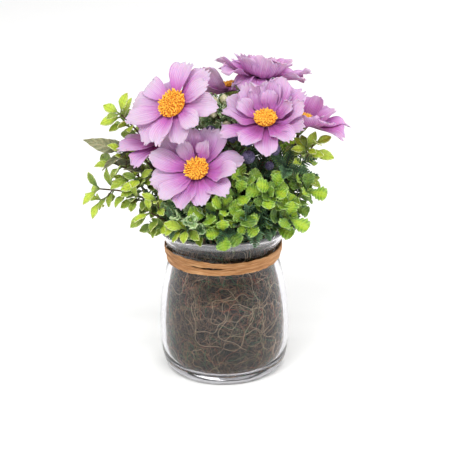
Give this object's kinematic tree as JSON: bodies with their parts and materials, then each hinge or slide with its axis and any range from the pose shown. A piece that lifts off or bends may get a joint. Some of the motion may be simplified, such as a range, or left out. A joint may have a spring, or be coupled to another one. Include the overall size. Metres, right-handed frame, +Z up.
{
  "type": "artificial chrysanthemums in a jar",
  "caption": "Glass jar packed with brown plant fibre and tied with raffia at the neck, holding lilac silk chrysanthemums with leafy sprays, ferns, berries and buds on wire stems",
  "frame": {"origin": "centre of the jar's flat underside", "axes": "+Z up out of the jar, -Y towards the viewer of the picture, +X to the viewer's right"},
  "size_m": [0.1663, 0.1208, 0.2025],
  "materials": {
    "glass": "clear pressed glass",
    "fibre": "matted brown plant fibre",
    "raffia": "dry raffia strip, satin",
    "petal": "stamped silk cloth, matt",
    "disc": "cut pile, matt",
    "stem": "dark brown plastic over wire",
    "leaf_pointed": "moulded soft plastic, satin",
    "leaf_scalloped": "moulded soft plastic, satin",
    "leaf_lance": "printed cloth, matt",
    "leaf_fern": "moulded soft plastic, matt",
    "leaf_frilly": "moulded soft plastic, matt",
    "berry": "dusty, matt",
    "bud": "matt"
  },
  "bodies": {
    "root": {"berries_centre": "berry", "berries_right": "berry", "buds_centre": "bud", "buds_top": "bud", "disc_back": "disc", "disc_centre_right": "disc", "disc_front": "disc", "disc_lower_left": "disc", "disc_right": "disc", "disc_top": "disc", "disc_upper_left": "disc", "fibre_wad": "fibre", "jar": "glass", "petals_back": "petal", "petals_centre_right": "petal", "petals_front": "petal", "petals_lower_left": "petal", "petals_right": "petal", "petals_top": "petal", "petals_upper_left": "petal", "raffia_lower_turn": "raffia", "raffia_upper_turn": "raffia", "spray_fern_back": "leaf_fern", "spray_fern_right": "leaf_fern", "spray_fern_rim": "leaf_fern", "spray_frilly_left": "leaf_frilly", "spray_frilly_mid": "leaf_frilly", "spray_frilly_top": "leaf_frilly", "spray_lance_left": "leaf_lance", "spray_pointed_back_left": "leaf_pointed", "spray_pointed_left": "leaf_pointed", "spray_pointed_left_high": "leaf_pointed", "spray_pointed_left_low": "leaf_pointed", "spray_pointed_left_mid": "leaf_pointed", "spray_pointed_left_top": "leaf_pointed", "spray_pointed_right_high": "leaf_pointed", "spray_pointed_rim": "leaf_pointed", "spray_scalloped_back": "leaf_scalloped", "spray_scalloped_back_right": "leaf_scalloped", "spray_scalloped_centre": "leaf_scalloped", "spray_scalloped_far_right": "leaf_scalloped", "spray_scalloped_left": "leaf_scalloped", "spray_scalloped_mid": "leaf_scalloped", "spray_scalloped_right": "leaf_scalloped", "spray_scalloped_right_low": "leaf_scalloped", "spray_scalloped_rim": "leaf_scalloped", "stem_back": "stem", "stem_centre_right": "stem", "stem_front": "stem", "stem_lower_left": "stem", "stem_right": "stem", "stem_top": "stem", "stem_upper_left": "stem"}
  },
  "joints": []
}
